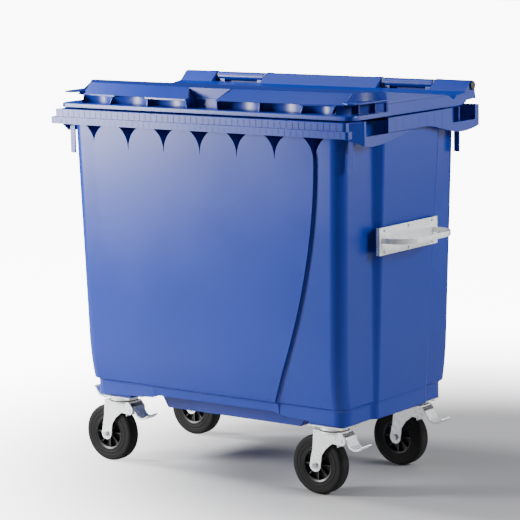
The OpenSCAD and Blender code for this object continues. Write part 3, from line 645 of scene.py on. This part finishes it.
def lid_rows(stations, side):
    """The lid's section at each station, from the underside's middle round the rim to the top's middle."""
    rows = []
    for (fx, fy), (wx, wy), (lx, ly), (cx, cy), lift in stations:
        sidewall = fy > -155
        top = top_height(cy)
        deck = min(cy, TRAY_BACK)
        in_x = max(0.0, wx - 4)
        in_y = min(wy + 4, TRAY_BACK - 4) if wy < TRAY_BACK else TRAY_BACK - 4
        mid_y = max(-170.0, deck)
        lip = min(LIP_Z + 2, top - 1.6)
        under = min(1283.0 + lift, top - 3)
        wall_top = min(1284.0 + lift, top - 3.2)
        inner_y = min(cy + 5, TRAY_BACK - 4)
        inner_x = max(0.0, cx - 5)
        low = FLANGE_LO if fy < 300 else 1252.0
        rows.append([(0, min(mid_y, TRAY_BACK - 4), top_height(mid_y) - 4.2), (inner_x, inner_y, top - 4.2),
                     (min(in_x, inner_x + 30), in_y, min(wall_top, top - 5)), (in_x, in_y, FLANGE_HI - 4),
                     (max(0.0, fx - 5), min(fy + 5, TRAY_BACK - 4), FLANGE_HI - 5),
                     (max(0.0, fx - 3.5), min(fy + 3.5, TRAY_BACK - 4), low),
                     (fx - 0.8 if fx > 1 else 0, fy + 0.8, low),
                     (fx, fy, low + 1.2), (fx, fy, FLANGE_HI - 4),
                     (fx if sidewall else fx - 0.8 * (fx > 1), fy + (0 if sidewall else 1.2), FLANGE_HI - 1.2),
                     (fx if sidewall else fx - 2.5 * (fx > 1), fy + (0 if sidewall else 4), FLANGE_HI),
                     (wx, wy, FLANGE_HI + 0.3), (wx, wy, wall_top), (lx, ly + (0 if sidewall else 2), under),
                     (lx, ly, under + 1), (lx, ly, lip), (lx * 0.999, ly + (0 if sidewall else 1.6), lip + 1.2),
                     (cx * 1.0005, cy - (0 if sidewall else 2), top - 1.3), (cx * 0.998, cy, top - 0.2),
                     (cx * 0.99, cy + (0 if sidewall else 5), top), (0, mid_y, top_height(mid_y))])
    return [[(side * x, y, z) for x, y, z in row] for row in rows]


def lid_shell():
    right = lid_rows(lid_stations(1), 1)
    left = lid_rows(lid_stations(-1), -1)
    cols = right + left[-2:0:-1]
    n, m = len(cols), len(cols[0])
    bm = bmesh.new()
    skin(bm, n + 1, m, lambda i, j: cols[i % n][j])
    bmesh.ops.remove_doubles(bm, verts=bm.verts, dist=0.02)
    bmesh.ops.dissolve_degenerate(bm, edges=bm.edges, dist=0.01)
    finish_mesh(bm, "lid_shell", BLUE, "lid", ["lid"], sharp=30)


def lid_ribs_and_ridge():
    bm = bmesh.new()
    for s in (-1, 1):
        for x in RIBS:
            wall = pocket_back(x) + 3
            lo, hi = sorted((s * (x - 1.8), s * (x + 1.8)))
            prism(bm, [(wall, FLANGE_HI - 2), (-336, FLANGE_HI - 2), (lip_y(x) + 5, 1286), (wall, 1286)], "x", lo, hi)
        for x, y in ((560, -262), (586, -206)):
            lo, hi = sorted((s * (x - 6), s * (x + 12)))
            block(bm, (lo, y - 2, FLANGE_HI - 3), (hi, y + 2, 1288))
        lo, hi = sorted((s * 590, s * 607.5))
        block(bm, (lo, -158, 1250), (hi, -153, 1294))
        prism(bm, [(s * x, y) for x, y in WING], "z", *WING_Z)
    profile = [(314, 1283), (354, 1319.2), (359, 1320.6), (371, 1320.6), (376, 1318.5), (390, 1259), (386, 1258),
               (371, 1315), (360, 1316), (318, 1279)]
    for a, b in ((-LID_X + 4, -RECESS[1]), (-RECESS[0], RECESS[0]), (RECESS[1], LID_X - 4)):
        prism(bm, profile, "x", a, b)
        for x in (a, b - 4):
            prism(bm, [(318, 1262), (316, 1282), (355, 1317), (374, 1317), (387, 1259.5), (327, 1257)], "x",
                  x + 0.3, x + 3.7)
    for s in (-1, 1):
        lo, hi = sorted((s * (RECESS[0] + 1), s * (RECESS[1] - 1)))
        prism(bm, [(310, 1281), (318, 1279), (321, 1262), (316, 1262), (313, 1276), (306, 1277)], "x", lo, hi)
    bmesh.ops.recalc_face_normals(bm, faces=bm.faces)
    bevel_edges(bm, 0.7)
    finish_mesh(bm, "lid_ridge", BLUE, "lid", ["lid"])
    bm = bmesh.new()
    for s in (-1, 1):
        for x in (RECESS[0] - 27, RECESS[1] + 2):
            lo, hi = sorted((s * x, s * (x + 25)))
            lathe_x(bm, lo, hi, 18, 12.2)
    for x in (-500, -380, -250, -125, 0, 125, 250, 380, 500):
        prism(bm, [(-250, 1312), (170, 1276), (170, 1283), (-170, 1321), (-250, 1321)], "x", x - 1.5, x + 1.5)
    finish_mesh(bm, "lid_inner_ribs", BLUE, "lid", ["lid"])


def lathe_x(bm, lo, hi, outer, inner):
    """A plain sleeve along X about the hinge line."""
    ring_pts = [(lo, inner), (hi, inner), (hi, outer), (lo, outer)]
    vs = [bm.verts.new((x, HINGE_Y, HINGE_Z + r)) for x, r in ring_pts]
    es = [bm.edges.new((vs[i], vs[(i + 1) % 4])) for i in range(4)]
    bmesh.ops.spin(bm, geom=vs + es, cent=(0, HINGE_Y, HINGE_Z), axis=(1, 0, 0), angle=2 * math.pi, steps=40,
                   use_merge=True)


make_camera()
lid_shell()
lid_ribs_and_ridge()
container_walls()
container_rim()
container_base()


# ================= Everything carried over from CAD, softened =================
def finish_hardware():
    looks = {"castor_plate": (ZINC, "zinc_steel", 0.8), "king_pin": (STEEL, "bright_steel", 0.5),
             "swivel_seal": (RUBBER, "seal_rubber", 0.5), "fork": (ZINC, "zinc_steel", 0.8),
             "axle": (STEEL, "bright_steel", 0.5), "roller_bearing": (NYLON, "cream_nylon", 0.4),
             "wheel_centre": (BLACK, "black_plastic", 0.5), "tyre": (TYRE, "tyre_rubber", 0.4),
             "brake_pedal": (ZINC, "zinc_steel", 0.6), "brake_shoe": (STEEL, "bright_steel", 0.4),
             "handle_plate": (ZINC, "zinc_steel", 0.5), "handle_loop": (ZINC, "zinc_steel", 1.0),
             "handle_rivets": (STEEL, "bright_steel", 0.3), "hinge_rod": (STEEL, "bright_steel", 0.5),
             "castor_bolts": (YELLOW, "yellow_zinc", 0.5), "castor_nuts": (STEEL, "zinc_steel", 0.5),
             "hinge_bushes": (NYLON, "cream_nylon", 0.4), "hinge_end_caps": (BLACK, "black_plastic", 0.8),
             "drain_plug": (BLACK, "black_plastic", 0.8), "drain_seal": (RUBBER, "seal_rubber", 0.5),
             "swivel_balls": (STEEL, "bright_steel", 0.0), "direction_lock": (ZINC, "zinc_steel", 0.8)}
    for node in sorted(NODES):
        if node in ("body", "lid") or node.startswith("tyre_"):
            continue
        kind = node if node in looks else node.rsplit("_", 1)[0]
        material, slot, width = looks[kind]
        if width:
            softened(node, material, width)
        else:
            mesh = NODES[node].data
            mesh.materials.clear()
            mesh.materials.append(material)


TYRE_HALF = [(58, 25), (60, 24), (66, 24), (67.5, 25), (74, 25), (75.2, 24), (77.5, 24), (78.7, 25), (88, 25),
             (91.5, 24.4), (95, 22.6), (97.6, 20), (99.2, 16.5), (100, 12)]


def tyres():
    """Solid tyres with flat sides, two shallow rings and a rounded shoulder."""
    for name, sx, sy in (("fl", -1, -1), ("fr", 1, -1), ("bl", -1, 1), ("br", 1, 1)):
        lo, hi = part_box("tyre_" + name)
        mid = (lo + hi) / 2 / MM
        profile = [(64, 14), (58, 14)] + TYRE_HALF
        profile = profile + [(r, -y) for r, y in reversed(profile)]
        bm = bmesh.new()
        lathe(bm, profile, mid, 96)
        finish_mesh(bm, "tyre_" + name + "_finished", TYRE, body_of_node("tyre_" + name),
                    ["tyre_" + name], sharp=26)


finish_hardware()
tyres()


# ================= Studio =================
# name, place, aim, size and power of each lamp
LAMPS = (
    ("key", (-2.5, -2.4, 1.45), (-0.5, -0.39, 1.15), (0.8, 1.3), 250),
    ("left", (-4.4, -0.8, 3.5), (0, 0, 0.3), (1.0, 1.0), 430),
    ("side", (4.2, 3.8, 1.5), (0.6, 0.1, 0.7), (2.8, 2.4), 75),
    ("fill", (3.8, 0.8, 2.4), (0.6, 0, 0.6), (1.0, 1.0), 120),
    ("top", (-2.1, -0.9, 4.2), (0, 0, 1.3), (2.2, 2.2), 60),
    ("back", (1.4, 2.6, 4.6), (0, 0, 1.2), (2.0, 2.0), 60),
)


def studio():
    """A grey floor with a painted glow that only the camera sees, so it reads as white away from the container and
    fades out near it as painted shade, a pale backdrop and soft lamps.
    """
    # Painted glow: the floor's own colour is mid grey, and a glow seen only by camera rays lifts it to white away
    # from the container, fading to none near it as painted shade.
    floor_mat = surface("floor_painted_glow", (0.40, 0.40, 0.41), (0.43, 0.43, 0.43), (0.5, 0.6), cloud=0.6,
                        grain=60, bump=0.01)
    glow = floor_mat.node_tree.nodes["Principled BSDF"]
    glow.inputs["Emission Color"].default_value = (1, 1, 1, 1)
    path = floor_mat.node_tree.nodes.new("ShaderNodeLightPath")
    tree = floor_mat.node_tree
    # Painted glow strength: none within 0.7 m of a point right of and behind the container, rising to 10 at 2.7 m,
    # for camera rays only.
    place, reach, lift, seen = (tree.nodes.new(kind) for kind in (
        "ShaderNodeTexCoord", "ShaderNodeVectorMath", "ShaderNodeMapRange", "ShaderNodeMath"))
    reach.operation, seen.operation = "DISTANCE", "MULTIPLY"
    reach.inputs[1].default_value = (0.55, 0.35, 0)
    lift.interpolation_type = "SMOOTHSTEP"
    for key, v in (("From Min", 0.7), ("From Max", 2.7), ("To Min", 0.0), ("To Max", 10.0)):
        lift.inputs[key].default_value = v
    tree.links.new(place.outputs["Object"], reach.inputs[0])
    tree.links.new(reach.outputs["Value"], lift.inputs["Value"])
    tree.links.new(lift.outputs["Result"], seen.inputs[0])
    tree.links.new(path.outputs["Is Camera Ray"], seen.inputs[1])
    tree.links.new(seen.outputs[0], glow.inputs["Emission Strength"])
    bm = bmesh.new()
    bmesh.ops.create_grid(bm, x_segments=8, y_segments=8, size=30)
    mesh = bpy.data.meshes.new("floor")
    bm.to_mesh(mesh)
    bm.free()
    floor = bpy.data.objects.new("floor", mesh)
    SCENE.collection.objects.link(floor)
    mesh.materials.append(floor_mat)
    world = SCENE.world or bpy.data.worlds.new("studio")
    SCENE.world = world
    world.use_nodes = True
    tree = world.node_tree
    sky = tree.nodes["Background"]
    sky.inputs["Color"].default_value = (0.80, 0.88, 1.0, 1)
    sky.inputs["Strength"].default_value = 0.08
    seen = tree.nodes.new("ShaderNodeBackground")
    seen.inputs["Strength"].default_value = 4.5
    path, mix = tree.nodes.new("ShaderNodeLightPath"), tree.nodes.new("ShaderNodeMixShader")
    tree.links.new(path.outputs["Is Camera Ray"], mix.inputs[0])
    tree.links.new(sky.outputs[0], mix.inputs[1])
    tree.links.new(seen.outputs[0], mix.inputs[2])
    tree.links.new(mix.outputs[0], tree.nodes["World Output"].inputs["Surface"])
    for name, place, aim, size, power in LAMPS:
        data = bpy.data.lights.new(name, "AREA")
        data.shape = "RECTANGLE"
        data.size, data.size_y = size
        data.energy = power
        light = bpy.data.objects.new(name, data)
        SCENE.collection.objects.link(light)
        light.location = place
        light.rotation_mode = "QUATERNION"
        light.rotation_quaternion = (Vector(aim) - Vector(place)).to_track_quat("-Z", "Y")


studio()
